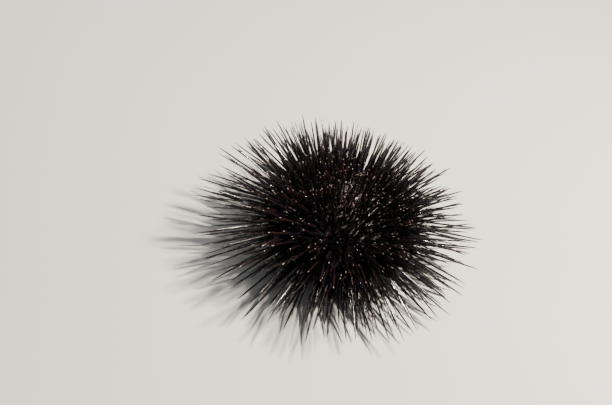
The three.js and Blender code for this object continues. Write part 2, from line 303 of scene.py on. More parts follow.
class UrchinStage(bpy.types.PropertyGroup):
    elevation: bpy.props.FloatProperty(
        name="Elevation", description="How steeply the camera looks down",
        default=math.radians(43), subtype="ANGLE",
    )
    roll: bpy.props.FloatProperty(
        name="Roll", description="How far the urchin's top leans to the right in the picture",
        default=math.radians(14), subtype="ANGLE",
    )
    distance: bpy.props.FloatProperty(
        name="Distance", description="From the camera to the point that it aims at",
        default=0.324, unit="LENGTH",
    )
    lens: bpy.props.FloatProperty(
        name="Lens", description="Focal length in millimetres", default=50
    )


def draw(thing, purpose):
    """A repeatable draw from 0 to 1 for a numbered thing and a purpose."""
    mixed = math.sin(thing * 12.9898 + purpose * 78.233) * 43758.5453
    return mixed - math.floor(mixed)


def sway(thing, purpose):
    """The same, from -1 to 1."""
    return 2 * draw(thing, purpose) - 1


def lerp(a, b, share):
    """The value at a share of the way from a to b."""
    return (1 - share) * a + share * b


def outline_at(latitude):
    """Radius and height of the test's outline: 90 is the apex and 0 the ambitus."""
    angle = math.radians(abs(latitude))
    if latitude >= 0:
        return TEST_RADIUS * math.cos(angle), AMBITUS_Z + APEX_RISE * math.sin(angle)
    radius = TEST_RADIUS * max(math.cos(angle), 0) ** ORAL_FULLNESS
    return radius, AMBITUS_Z - ORAL_DROP * math.sin(angle) ** ORAL_FULLNESS


def normal_elevation_at(latitude):
    """Elevation of the outline's outward normal, in degrees."""
    r1, z1 = outline_at(latitude + 1)
    r0, z0 = outline_at(latitude - 1)
    return math.degrees(math.atan2(-(r1 - r0), z1 - z0))


def even_latitudes(step):
    """Latitudes in even steps of arc length, from the peristome up to the apical disc."""
    found = []
    walked = 0
    last = outline_at(-90)
    latitude = -90
    while latitude <= 90:
        here = outline_at(latitude)
        inside = PERISTOME_RADIUS if latitude < 0 else APICAL_RADIUS
        if here[0] > inside + ROOT_RADIUS + GAP:
            walked += math.dist(here, last)
        last = here
        if walked >= step * (len(found) + FIRST_ROW_AT):
            found.append(latitude)
        latitude += LATITUDE_STEP
    return found


def length_of(azimuth, latitude, number):
    """How long a spine is, by where it grows."""
    facing = math.radians(azimuth)
    ambital = AMBITAL_LENGTH
    ambital += LONGER_BY * math.cos(facing - math.radians(LONGEST_TOWARDS))
    ambital += WIDER_BY * math.cos(2 * (facing - math.radians(WIDEST_TOWARDS)))
    away = abs(latitude) / 90
    if latitude < 0:
        even = lerp(ambital, ORAL_LENGTH, away ** SHORTENING_BELOW)
    else:
        even = lerp(ambital, APICAL_LENGTH, away ** SHORTENING_ABOVE)
    return even * (1 + LENGTH_SPREAD * sway(number, FOR_LENGTH))


def on_circle(azimuth, radius, height):
    """The point at a radius and a height, in the direction of an azimuth in degrees."""
    around = math.radians(azimuth)
    return np.array([radius * math.cos(around), radius * math.sin(around), height])


def heading(azimuth, elevation):
    """The unit vector that points at an azimuth and an elevation in degrees."""
    up = math.radians(elevation)
    return on_circle(azimuth, math.cos(up), math.sin(up))


def spine_at(azimuth, latitude, number, attempt, share=1.0):
    """A spine as a dict, in millimetres. Its uv is its place on the unwrap of the test."""
    radius_here, z_here = outline_at(latitude)
    calm = 1 - attempt / PLACING_TRIES
    purpose = FOR_LEAN + attempt * 2
    outwards = math.degrees(math.atan2(z_here - CORE_Z, radius_here))
    upright = lerp(normal_elevation_at(latitude), outwards, CORE_SHARE)
    length = length_of(azimuth, latitude, number) * share
    elevation = upright + LEAN_SPREAD * calm * sway(number, purpose)
    yaw = azimuth + LEAN_SPREAD * calm * sway(number, purpose + 1)
    resting = latitude < 0 and z_here < RESTING_BELOW_Z and share == 1.0
    lowest = -FOOT_SUNK if resting else FLOOR_CLEARANCE * (1 + draw(number, FOR_CLEARANCE))
    steepest = math.degrees(math.asin(max(-1, (lowest - z_here) / length)))
    if resting:
        length = max(length, z_here + FOOT_SUNK + LEAST_SLANT)
        elevation = math.degrees(math.asin((lowest - z_here) / length))
    else:
        elevation = max(elevation, steepest)
    fullness = min(1, length / AMBITAL_LENGTH)
    return {
        "root": on_circle(azimuth, radius_here, z_here),
        "direction": heading(yaw, elevation),
        "length": length,
        "radius": lerp(SMALL_ROOT_RADIUS, ROOT_RADIUS, fullness),
        "resting": resting,
        "azimuth": azimuth,
        "latitude": latitude,
        "uv": unwrapped(azimuth, latitude),
        "number": number,
    }


class Grove:
    """Spines already placed, so that a new one can be set clear of them.

    A row of the table is a root, a direction, a length and a radius."""

    def __init__(self):
        self.spines = []
        self.table = np.zeros((0, 8))

    def takes(self, spine, space):
        """Adds a spine if it stands further than space from all of the others."""
        own = np.array([[*spine["root"], *spine["direction"], spine["length"], spine["radius"]]])
        longer = spine["length"] < self.table[:, 6]
        gap = min(least_gap(own, self.table[longer]), least_gap(self.table[~longer], own))
        if gap > space:
            self.spines.append(spine)
            self.table = np.vstack([self.table, own])
        return gap > space


def least_gap(short, long):
    """The least gap between rows of two tables, from points along the shorter spines."""
    if not len(short) or not len(long):
        return math.inf
    shares = np.linspace(0, 1, CLEARANCE_SAMPLES + 1)
    roots, directions, lengths, radii = columns(short)
    points = roots + (shares * lengths)[..., None] * directions
    gaps = -radius_along(radii, shares)
    roots, directions, lengths, radii = columns(long)
    along = ((points - roots) * directions).sum(axis=2)
    kept = np.clip(along, 0, lengths)
    gaps = gaps + np.linalg.norm(points - roots - kept[..., None] * directions, axis=2)
    return (gaps - radius_along(radii, kept / lengths)).min()


def columns(table):
    """Roots, directions, lengths and radii of the rows, shaped so that points can be added."""
    return table[:, None, :3], table[:, None, 3:6], table[:, 6:7], table[:, 7:8]


def radius_along(radius, share):
    """The radius of a solid spine at a share of its length."""
    low = radius * (1 - (1 - WAIST_SHARE) * share / WAIST_AT)
    high = radius * WAIST_SHARE * (1 - share) / (1 - WAIST_AT)
    return np.where(share < WAIST_AT, low, high)


def segments():
    """Name, number, centre, half width and lanes of each of the ten segments."""
    found = []
    for i in range(SYMMETRY):
        centre = FIRST_AMBULACRUM_AT + i * TURN
        half = AMBULACRUM_HALF_WIDTH
        found.append((f"ambulacrum_{i + 1}", 2 * i, centre, half, AMBULACRUM_LANES))
        centre += TURN / 2
        half = INTERAMBULACRUM_HALF_WIDTH
        found.append((f"interambulacrum_{i + 1}", 2 * i + 1, centre, half, INTERAMBULACRUM_LANES))
    return found


def segment_of(azimuth):
    """The number of the segment that holds an azimuth."""
    turned = (azimuth - FIRST_AMBULACRUM_AT + AMBULACRUM_HALF_WIDTH) % 360
    whole, rest = divmod(turned, TURN)
    return int(2 * whole) + (rest > 2 * AMBULACRUM_HALF_WIDTH)


def main_spines(grove):
    """The spines that the solids have, by the same draws."""
    rows = even_latitudes(LANE_STEP)
    for _, number, centre, half, lanes in segments():
        for lane_number, lane in enumerate(lanes):
            for step, even in enumerate(rows):
                following = rows[min(step + 1, len(rows) - 1)]
                latitude = lerp(even, following, LANE_STAGGER * (lane_number % 2))
                radius_here = outline_at(latitude)[0]
                if abs(lane) > OUTER_LANE_SHARE and radius_here < OUTER_LANE_FROM_RADIUS:
                    continue
                room = radius_here * math.sin(math.radians(half * (1 - abs(lane))))
                own_number = number * SEGMENT_NUMBERS + lane_number * LANE_NUMBERS + step
                for attempt in range(PLACING_TRIES + 1):
                    spine = spine_at(centre + lane * half, latitude, own_number, attempt)
                    spine["radius"] = min(spine["radius"], room - GAP / 2 - SEGMENT_MARGIN)
                    if spine["radius"] < LEAST_ROOT_RADIUS:
                        break
                    if grove.takes(spine, SPINE_GAP):
                        break
    latitude = math.degrees(math.acos(APICAL_SPINES_AT / TEST_RADIUS))
    for i in range(SYMMETRY):
        for side in (-1, 0, 1):
            azimuth = FIRST_AMBULACRUM_AT + (i + 0.5) * TURN + side * TURN / 3
            number = APICAL_NUMBERS + PLATE_NUMBERS * i + side
            spine = spine_at(azimuth, latitude, number, 0)
            spine["length"] *= APICAL_SPINE_SHARE
            spine["radius"] = SMALL_ROOT_RADIUS
            spine["apical"] = True
            grove.takes(spine, SPINE_GAP)


@functools.cache
def areas_below(inner_top, inner_bottom):
    """Latitudes and the share of the test's area below each, between two radii."""
    latitudes = np.linspace(-89, 89, 900)
    points = np.array([outline_at(a) for a in latitudes])
    steps = np.linalg.norm(np.diff(points, axis=0), axis=1)
    rings = steps * (points[1:, 0] + points[:-1, 0]) / 2
    inside = np.where(latitudes[1:] < 0, inner_bottom, inner_top)
    rings[points[1:, 0] < inside] = 0
    total = np.concatenate([[0], np.cumsum(rings)])
    return latitudes, total / total[-1]


def scatter(count, first_number):
    """Places spread evenly over the test: a number, an azimuth and a latitude for each."""
    latitudes, areas = areas_below(
        APICAL_RADIUS + SCATTER_BELOW_APEX, PERISTOME_RADIUS + SCATTER_ABOVE_PERISTOME
    )
    for k in range(count):
        number = first_number + k
        share = (k + 0.5 + SCATTER_SHARE_SWAY * sway(number, FOR_LATITUDE)) / count
        share = min(max(share, 0.001), 0.999)
        latitude = float(np.interp(share, areas, latitudes))
        azimuth = (k * GOLDEN + SCATTER_AZIMUTH_SWAY * sway(number, FOR_AZIMUTH)) % 360
        yield number, azimuth, latitude


def extra_spines(grove, count):
    """Long spines between the main ones, a little shorter so that the solids reach furthest."""
    for number, azimuth, latitude in scatter(count, EXTRA_NUMBERS):
        share = EXTRA_LEAST_SHARE + EXTRA_SHARE_SPREAD * draw(number, FOR_SIZE)
        for attempt in range(EXTRA_TRIES):
            spine = spine_at(azimuth, latitude, number, attempt, share)
            spine["radius"] *= EXTRA_THICKNESS
            if grove.takes(spine, -EXTRA_OVERLAP):
                break


@functools.cache
def long_spines(extra):
    """All long spines, which the bosses need as well."""
    grove = Grove()
    main_spines(grove)
    extra_spines(grove, extra)
    return grove.spines


def normal_at(azimuth, latitude):
    """The outward normal of the test."""
    return heading(azimuth, normal_elevation_at(latitude))


def surface_at(azimuth, latitude):
    """A point on the rendered skin."""
    point = on_circle(azimuth, *outline_at(latitude))
    return point - SKIN_DEPTH * normal_at(azimuth, latitude)


def unwrapped(azimuth, latitude):
    """A root's place on the unwrap of the test: round it, and up its area."""
    latitudes, areas = areas_below(0, 0)
    return (azimuth % 360) / 360, float(np.interp(latitude, latitudes, areas))


def sprout(azimuth, latitude, number, share, radius):
    """A small form on the skin, which leans as a spine of that share of the length would."""
    place = spine_at(azimuth, latitude, number, 0, share)
    place["root"] = surface_at(azimuth, latitude)
    place["radius"] = radius
    return place


# Templates. Each is one closed form with a radius of 1 at its root and a length of 1.


def next_ring(bm, edges):
    """Extrudes a ring of edges in place: each new vertex with the old one, and the new edges."""
    grown = bmesh.ops.extrude_edge_only(bm, edges=edges)["geom"]
    ring = [g for g in grown if isinstance(g, bmesh.types.BMVert)]
    edges = [g for g in grown if isinstance(g, bmesh.types.BMEdge)]
    grown_from = {}
    for vert in ring:
        others = [edge.other_vert(vert) for edge in vert.link_edges]
        grown_from[vert] = next(other for other in others if other not in ring)
    return grown_from, [e for e in edges if e.verts[0] in ring and e.verts[1] in ring]


def stem(profile, sides, flute=0.0):
    """Vertices, faces and patch coordinates of a form along +Z, from its profile."""
    bm = bmesh.new()
    height, last_radius = profile[0]
    made = bmesh.ops.create_circle(bm, cap_ends=True, radius=last_radius, segments=sides)
    bmesh.ops.translate(bm, verts=made["verts"], vec=(0, 0, height))
    edges = list(bm.edges)
    for height, radius in profile[1:]:
        ring, edges = next_ring(bm, edges)
        scale = radius / last_radius
        for vert in ring:
            vert.co = Vector((vert.co.x * scale, vert.co.y * scale, height))
        last_radius = radius
    bmesh.ops.contextual_create(bm, geom=edges)
    if flute:
        for vert in bm.verts:
            turn = round(math.atan2(vert.co.y, vert.co.x) / (2 * math.pi) * sides)
            if turn % 2:
                vert.co.x *= 1 - flute
                vert.co.y *= 1 - flute
    bmesh.ops.recalc_face_normals(bm, faces=bm.faces)
    bm.verts.index_update()
    verts = np.array([v.co[:] for v in bm.verts])
    faces = [[v.index for v in f.verts] for f in bm.faces]
    low, high = verts[:, 2].min(), verts[:, 2].max()
    patch = []
    for face in faces:
        turns = [(math.atan2(verts[i][1], verts[i][0]) / (2 * math.pi)) % 1 for i in face]
        if max(turns) - min(turns) > 0.5:
            turns = [t + 1 if t < 0.5 else t for t in turns]
        for t, i in zip(turns, face):
            patch.append((t / (1 + 1 / sides), (verts[i][2] - low) / (high - low)))
    bm.free()
    return verts, faces, np.array(patch)


def axes_along(directions):
    """For each direction, a matrix whose columns are two cross directions and the direction."""
    directions = directions / np.linalg.norm(directions, axis=1)[:, None]
    helper = np.where(np.abs(directions[:, 2:]) > 0.9, [[1.0, 0, 0]], [[0, 0, 1.0]])
    x = np.cross(helper, directions)
    x /= np.linalg.norm(x, axis=1)[:, None]
    y = np.cross(directions, x)
    return np.stack([x, y, directions], axis=2)


def plant(name, template, places, bend=0.0):
    """One joined mesh with a copy of a template at each place, in metres.

    A place is a dict of root, direction, length and radius in millimetres, the uv of its patch
    on the unwrap, and a number for its own tone and bend."""
    verts, faces, patch = template
    count = len(places)
    roots, directions, lengths, radii, numbers, uv_roots = (
        np.array([place[key] for place in places])
        for key in ("root", "direction", "length", "radius", "number", "uv")
    )
    turns = axes_along(directions)
    tones = np.array([draw(n, FOR_TONE) for n in numbers])
    local = np.repeat(verts[None], count, axis=0)
    local[:, :, :2] *= radii[:, None, None]
    local[:, :, 2] *= lengths[:, None]
    shares = np.clip(verts[:, 2], 0, 1)
    if bend:
        bow = np.sin(np.pi * shares)[None] * (bend * lengths)[:, None]
        angle = np.array([2 * math.pi * draw(n, FOR_BEND) for n in numbers])
        strength = np.array([sway(n, FOR_BEND + 1) for n in numbers])
        local[:, :, 0] += bow * (np.cos(angle) * strength)[:, None]
        local[:, :, 1] += bow * (np.sin(angle) * strength)[:, None]
    world = np.einsum("nij,nvj->nvi", turns, local) + roots[:, None]
    world = np.clip(world * MM + AXIS, CAD_LOW, CAD_HIGH).reshape(-1, 3)

    corner_counts = np.array([len(f) for f in faces])
    corners = np.concatenate([np.array(f) for f in faces])
    offsets = np.arange(count) * len(verts)
    all_corners = (corners[None] + offsets[:, None]).ravel()
    starts = np.concatenate([[0], np.cumsum(np.tile(corner_counts, count))[:-1]])
    uvs = (uv_roots[:, None] + (patch[None] - 0.5) * PATCH).reshape(-1, 2)

    mesh = bpy.data.meshes.new(name)
    mesh.vertices.add(len(world))
    mesh.vertices.foreach_set("co", world.astype(np.float32).ravel())
    mesh.loops.add(len(all_corners))
    mesh.loops.foreach_set("vertex_index", all_corners.astype(np.int32))
    mesh.polygons.add(len(starts))
    mesh.polygons.foreach_set("loop_start", starts.astype(np.int32))
    mesh.update(calc_edges=True)
    uv_layer = mesh.uv_layers.new(name="OFBake")
    uv_layer.data.foreach_set("uv", uvs.astype(np.float32).ravel())
    own_shares, own_tones = np.tile(shares, count), np.repeat(tones, len(verts))
    for title, values in (("along", own_shares), ("tone", own_tones)):
        attribute = mesh.attributes.new(title, "FLOAT", "POINT")
        attribute.data.foreach_set("value", values.astype(np.float32))
    mesh.validate()
    return finished(name, mesh)


def finished(name, mesh):
    """A smooth object, at the origin, for a mesh that already has its place."""
    mesh.shade_smooth()
    piece = bpy.data.objects.new(name, mesh)
    bpy.context.scene.collection.objects.link(piece)
    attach(piece, "root")
    return piece


# Finishes.


def living_grain():
    """Mottling and fine relief that every living surface shares."""
    if "Living Grain" in bpy.data.node_groups:
        return bpy.data.node_groups["Living Grain"]
    group = bpy.data.node_groups.new("Living Grain", "ShaderNodeTree")
    for way, names in (("INPUT", ("Coarse", "Fine")), ("OUTPUT", ("Mottle", "Relief"))):
        for name in names:
            group.interface.new_socket(name=name, in_out=way, socket_type="NodeSocketFloat")
    start = group.nodes.new("NodeGroupInput")
    end = group.nodes.new("NodeGroupOutput")
    place = group.nodes.new("ShaderNodeTexCoord")
    for output, scale, detail in (("Mottle", "Coarse", 4), ("Relief", "Fine", 3)):
        noise = group.nodes.new("ShaderNodeTexNoise")
        noise.inputs["Detail"].default_value = detail
        group.links.new(place.outputs["Object"], noise.inputs["Vector"])
        group.links.new(start.outputs[scale], noise.inputs["Scale"])
        group.links.new(noise.outputs["Fac"], end.inputs[output])
    return group


class Finish:
    """A material with a Principled shader, and short ways to add nodes to it."""

    def __init__(self, name):
        self.material = bpy.data.materials.new(name)
        self.material.use_nodes = True
        self.nodes = self.material.node_tree.nodes
        self.links = self.material.node_tree.links
        self.shader = next(n for n in self.nodes if n.type == "BSDF_PRINCIPLED")

    def grain(self, coarse, fine):
        """Sockets of a mottle and a relief, at two scales."""
        node = self.nodes.new("ShaderNodeGroup")
        node.node_tree = living_grain()
        node.inputs["Coarse"].default_value = coarse
        node.inputs["Fine"].default_value = fine
        return node.outputs["Mottle"], node.outputs["Relief"]

    def attribute(self, name):
        node = self.nodes.new("ShaderNodeAttribute")
        node.attribute_name = name
        return node.outputs["Fac"]

    def ramp(self, source, low, high, to_low=0.0, to_high=1.0):
        node = self.nodes.new("ShaderNodeMapRange")
        node.interpolation_type = "SMOOTHSTEP"
        limits = {"From Min": low, "From Max": high, "To Min": to_low, "To Max": to_high}
        for key, value in limits.items():
            node.inputs[key].default_value = value
        self.links.new(source, node.inputs["Value"])
        return node.outputs["Result"]

    def math(self, kind, first, second):
        node = self.nodes.new("ShaderNodeMath")
        node.operation = kind
        for socket, value in zip(node.inputs, (first, second)):
            if isinstance(value, (int, float)):
                socket.default_value = value
            else:
                self.links.new(value, socket)
        return node.outputs[0]

    def mix(self, share, first, second):
        node = self.nodes.new("ShaderNodeMix")
        node.data_type = "RGBA"
        self.links.new(share, node.inputs["Factor"])
        colours = [s for s in node.inputs if s.type == "RGBA"]
        for socket, value in zip(colours, (first, second)):
            if isinstance(value, bpy.types.NodeSocket):
                self.links.new(value, socket)
            else:
                socket.default_value = (*value, 1)
        return next(s for s in node.outputs if s.type == "RGBA")

    def bump(self, height, strength, distance):
        node = self.nodes.new("ShaderNodeBump")
        node.inputs["Strength"].default_value = strength
        node.inputs["Distance"].default_value = distance
        self.links.new(height, node.inputs["Height"])
        self.links.new(node.outputs["Normal"], self.shader.inputs["Normal"])

    def colour(self, socket):
        self.links.new(socket, self.shader.inputs["Base Color"])

    def roughness(self, socket):
        self.links.new(socket, self.shader.inputs["Roughness"])

    def constants(self, **values):
        for key, value in values.items():
            self.shader.inputs[key.replace("_", " ")].default_value = value


def colours():
    """The colours set in the panel."""
    return bpy.context.scene.urchin_colours


def spine_finish(name="Spine Calcite", glint_painted_from=0.96, warmth=1.0):
    """Near-black calcite, warm towards the tip, with a pale painted glint on the very tip of some
    spines.
    """
    if name in bpy.data.materials:
        return bpy.data.materials[name]
    finish = Finish(name)
    mottle, relief = finish.grain(420, 3800)
    along, tone = finish.attribute("along"), finish.attribute("tone")
    body = finish.mix(finish.ramp(tone, 0.35, 0.9), colours().shaft, colours().violet)
    glow = finish.ramp(tone, -0.3, 0.8, 0.0, warmth)
    glow = finish.math("MULTIPLY", finish.ramp(along, 0.45, 1.0), glow)
    body = finish.mix(glow, body, colours().warm)
    body = finish.mix(finish.ramp(mottle, 0.42, 0.75, 0.0, 0.55), body, (0.002, 0.0012, 0.002))
    # Painted glint: the very tips of some spines are painted pale grey to stand for light caught on
    # them.
    glint_painted = finish.ramp(tone, 0.35, 0.75)
    glint_painted = finish.math("MULTIPLY", finish.ramp(along, glint_painted_from, 0.99), glint_painted)
    finish.colour(finish.mix(glint_painted, body, colours().glint_painted))
    finish.roughness(finish.ramp(mottle, 0.3, 0.7, 0.14, 0.34))
    finish.bump(relief, 0.07, 0.00004)
    finish.constants(Specular_IOR_Level=0.45, Coat_Weight=0.3, Coat_Roughness=0.07)
    return finish.material


def skin_finish():
    """Thin violet-black skin, pebbled over the plates."""
    finish = Finish("Test Skin")
    mottle, relief = finish.grain(160, 1300)
    base = finish.mix(finish.ramp(mottle, 0.35, 0.7), colours().violet, (0.018, 0.007, 0.009))
    cells = finish.nodes.new("ShaderNodeTexVoronoi")
    cells.inputs["Scale"].default_value = 1500
    place = finish.nodes.new("ShaderNodeTexCoord")
    finish.links.new(place.outputs["Object"], cells.inputs["Vector"])
    pebbles = finish.ramp(cells.outputs["Distance"], 0.0, 0.7, 1.0, 0.0)
    finish.colour(finish.mix(pebbles, base, (0.028, 0.013, 0.02)))
    finish.roughness(finish.ramp(mottle, 0.3, 0.7, 0.4, 0.62))
    finish.bump(finish.math("ADD", pebbles, relief), 0.6, 0.00012)
    finish.constants(Coat_Weight=0.15, Coat_Roughness=0.3)
    return finish.material


def soft_finish(name, low, high, rough=0.38):
    """Moist soft skin, mottled between two colours."""
    finish = Finish(name)
    mottle, relief = finish.grain(600, 3000)
    finish.colour(finish.mix(finish.ramp(mottle, 0.35, 0.68), low, high))
    finish.roughness(finish.ramp(relief, 0.3, 0.7, rough - 0.06, rough + 0.12))
    finish.bump(relief, 0.5, 0.0001)
    finish.constants(Coat_Weight=0.3, Coat_Roughness=0.2)
    finish.constants(Subsurface_Weight=0.05, Subsurface_Scale=0.001)
    return finish.material


def tooth_finish():
    """Off-white calcite, mottled with a darker tint."""
    finish = Finish("Tooth Calcite")
    mottle, relief = finish.grain(900, 5200)
    shade = finish.ramp(mottle, 0.35, 0.72)
    finish.colour(finish.mix(shade, (0.74, 0.69, 0.58), (0.5, 0.42, 0.33)))
    finish.roughness(finish.ramp(relief, 0.3, 0.7, 0.26, 0.42))
    finish.bump(relief, 0.3, 0.00005)
    return finish.material


def floor_finish():
    """A plain pale floor with a very faint unevenness."""
    finish = Finish("Pale Floor")
    mottle, _ = finish.grain(6, 300)
    finish.colour(finish.mix(mottle, (0.38, 0.37, 0.352), (0.41, 0.4, 0.382)))
    finish.roughness(finish.ramp(mottle, 0.3, 0.7, 0.6, 0.7))
    return finish.material


def keep(bm, name):
    """Finishes a bmesh in millimetres round the test's axis as an object in metres."""
    bmesh.ops.remove_doubles(bm, verts=bm.verts, dist=1e-4)
    bmesh.ops.recalc_face_normals(bm, faces=bm.faces)
    bmesh.ops.scale(bm, verts=bm.verts, vec=(MM, MM, MM))
    bmesh.ops.translate(bm, verts=bm.verts, vec=AXIS)
    mesh = bpy.data.meshes.new(name)
    bm.to_mesh(mesh)
    bm.free()
    return finished(name, mesh)


def spin_profile(profile, steps):
    """A closed body turned about Z from (radius, height) pairs that start and end on it."""
    bm = bmesh.new()
    verts = [bm.verts.new((radius, 0, height)) for radius, height in profile]
    edges = [bm.edges.new(pair) for pair in zip(verts[:-1], verts[1:])]
    bmesh.ops.spin(
        bm, geom=verts + edges, cent=(0, 0, 0), axis=(0, 0, 1), angle=2 * math.pi, steps=steps,
        use_merge=True,
    )
    return bm


def dress(piece, material):
    """Gives a piece its finish."""
    piece.data.materials.clear()
    piece.data.materials.append(material)


class URCHIN_OT_skin(bpy.types.Operator):
    """The skin over the whole test, which stands for its ten segments"""

    bl_idname = "urchin.skin"
    bl_label = "Test Skin"

    def execute(self, context):
        top_latitude = math.degrees(math.acos((APICAL_RADIUS + GAP) / TEST_RADIUS))
        low_latitude = -math.degrees(
            math.acos(((PERISTOME_RADIUS + GAP) / TEST_RADIUS) ** (1 / ORAL_FULLNESS))
        )
        top, bottom = AMBITUS_Z + APEX_RISE, AMBITUS_Z - ORAL_DROP
        tuck = bottom + SKIN_TUCK_BELOW
        profile = [(0, tuck), (PERISTOME_RADIUS + GAP, tuck)]
        for latitude in np.linspace(low_latitude, top_latitude, SKIN_RINGS):
            radius, _, height = surface_at(0, latitude)
            profile.append((radius, height))
        tuck = top - SKIN_TUCK_ABOVE
        profile += [(APICAL_RADIUS + GAP, tuck), (0, tuck)]
        skin = keep(spin_profile(profile, SKIN_SIDES), "test_skin")
        dress(skin, skin_finish())
        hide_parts(*[name for name, *_ in segments()])
        return {"FINISHED"}


class URCHIN_OT_long_spines(bpy.types.Operator):
    """Main and extra long spines, one piece for each segment"""

    bl_idname = "urchin.long_spines"
    bl_label = "Long Spines"

    def execute(self, context):
        sizes = context.scene.urchin_spines
        names = [name for name, *_ in segments()]
        groups = {}
        for spine in long_spines(sizes.extra):
            place = dict(spine)
            place["radius"] = spine["radius"] * sizes.slimness
            if spine["resting"]:
                over = spine["root"][2] / -spine["direction"][2]
                place["length"] = min(spine["length"], over * RESTING_SHARE)
            group = "spines_" + names[segment_of(spine["azimuth"])]
            if spine.get("apical"):
                group = "apical_spines"
            groups.setdefault(group, []).append(place)
        template = stem(LONG_PROFILE, LONG_SIDES, LONG_FLUTE)
        for name, places in groups.items():
            dress(plant(name, template, places, sizes.bend), spine_finish())
        return {"FINISHED"}


class URCHIN_OT_small_spines(bpy.types.Operator):
    """Secondary and miliary spines, and the bosses that the long ones stand on"""

    bl_idname = "urchin.small_spines"
    bl_label = "Small Spines"

    def execute(self, context):
        sizes = context.scene.urchin_spines
        kinds = (
            ("secondary_spines", stem(SECONDARY_PROFILE, 7), sizes.secondary,
             SECONDARY_NUMBERS, SECONDARY_SHARES, SECONDARY_RADIUS),
            ("miliary_spines", stem(MILIARY_PROFILE, 5), sizes.miliary,
             MILIARY_NUMBERS, MILIARY_SHARES, MILIARY_RADIUS),
        )
        # The small spines carry the painted pale tip glint over a longer share of their length.
        finish = spine_finish("Small Spine Calcite", 0.88, 0.3)
        for name, template, count, first, (short, long), radius in kinds:
            places = []
            for number, azimuth, latitude in scatter(count, first):
                share = lerp(short, long, draw(number, FOR_SIZE))
                places.append(sprout(azimuth, latitude, number, share, radius))
            dress(plant(name, template, places), finish)
        places = []
        for spine in long_spines(sizes.extra):
            if spine.get("apical"):
                continue
            azimuth, latitude = spine["azimuth"], spine["latitude"]
            place = {
                **spine,
                "root": surface_at(azimuth, latitude),
                "direction": normal_at(azimuth, latitude),
                "length": BOSS_HEIGHT,
                "radius": spine["radius"] * BOSS_WIDENING,
            }
            places.append(place)
        # The bosses take the spine finish, so some of their tops carry the painted pale glint too.
        dress(plant("tubercles", stem(BOSS_PROFILE, 8), places), spine_finish())
        return {"FINISHED"}


class URCHIN_OT_tube_feet(bpy.types.Operator):
    """Tube feet in pairs of rows up the five ambulacra, each ending in a sucker"""

    bl_idname = "urchin.tube_feet"
    bl_label = "Tube Feet"

    def execute(self, context):
        places = []
        rows = even_latitudes(FOOT_ROW_STEP)
        for i in range(SYMMETRY):
            centre = FIRST_AMBULACRUM_AT + i * TURN
            for side in (-1, 1):
                first = FOOT_NUMBERS + FOOT_SECTOR_NUMBERS * i + FOOT_SIDE_NUMBERS * (side > 0)
                for row, latitude in enumerate(rows):
                    number = first + row
                    aside = AMBULACRUM_HALF_WIDTH - FOOT_INSET + sway(number, FOR_AZIMUTH)
                    place = sprout(
                        centre + side * aside, latitude, number, ORGAN_SHARE, FOOT_RADIUS
                    )
                    length = LOWER_FOOT_LENGTH if latitude < 0 else UPPER_FOOT_LENGTH
                    length *= 0.7 + 0.6 * draw(number, FOR_SIZE)
                    tip_z = outline_at(latitude)[1] + length * place["direction"][2]
                    place["length"] = length * (0.6 if tip_z < FOOT_LEAST_Z else 1)
                    places.append(place)
        feet = plant("tube_feet", stem(FOOT_PROFILE, 8), places, FOOT_BEND)
        finish = soft_finish("Tube Foot Skin", colours().feet, (0.09, 0.035, 0.035))
        dress(feet, finish)
        return {"FINISHED"}


class URCHIN_OT_pedicellariae(bpy.types.Operator):
    """Small stalked pincers between the spines"""

    bl_idname = "urchin.pedicellariae"
    bl_label = "Pedicellariae"

    def execute(self, context):
        places = []
        for number, azimuth, latitude in scatter(PINCERS, PINCER_NUMBERS):
            place = sprout(azimuth, latitude, number, ORGAN_SHARE, PINCER_RADIUS)
            place["length"] = 2.2 + 1.4 * draw(number, FOR_SIZE)
            places.append(place)
        piece = plant("pedicellariae", stem(PINCER_PROFILE, 6), places, PINCER_BEND)
        finish = soft_finish("Pincer Skin", (0.03, 0.014, 0.018), (0.07, 0.03, 0.03))
        dress(piece, finish)
        return {"FINISHED"}


def plate(bm, reach, turn, height, radii, sides, thickness):
    """Adds a rounded plate with a low rim to a bmesh, at a distance and turn from the axis."""
    made = bmesh.ops.create_circle(bm, cap_ends=True, radius=1, segments=sides)["verts"]
    face = made[0].link_faces[0]
    c, s = math.cos(turn), math.sin(turn)
    for vert in made:
        x, y = reach + vert.co.x * radii[0], vert.co.y * radii[1]
        vert.co = Vector((c * x - s * y, s * x + c * y, height))
    top = bmesh.ops.extrude_face_region(bm, geom=[face])["geom"]
    top_verts = [g for g in top if isinstance(g, bmesh.types.BMVert)]
    bmesh.ops.translate(bm, verts=top_verts, vec=(0, 0, thickness))
    top_face = next(g for g in top if isinstance(g, bmesh.types.BMFace))
    bmesh.ops.inset_region(bm, faces=[top_face], thickness=min(radii) * 0.3, depth=0.12)
    middle = bmesh.ops.poke(bm, faces=[top_face])["verts"]
    bmesh.ops.translate(bm, verts=middle, vec=(0, 0, 0.1))


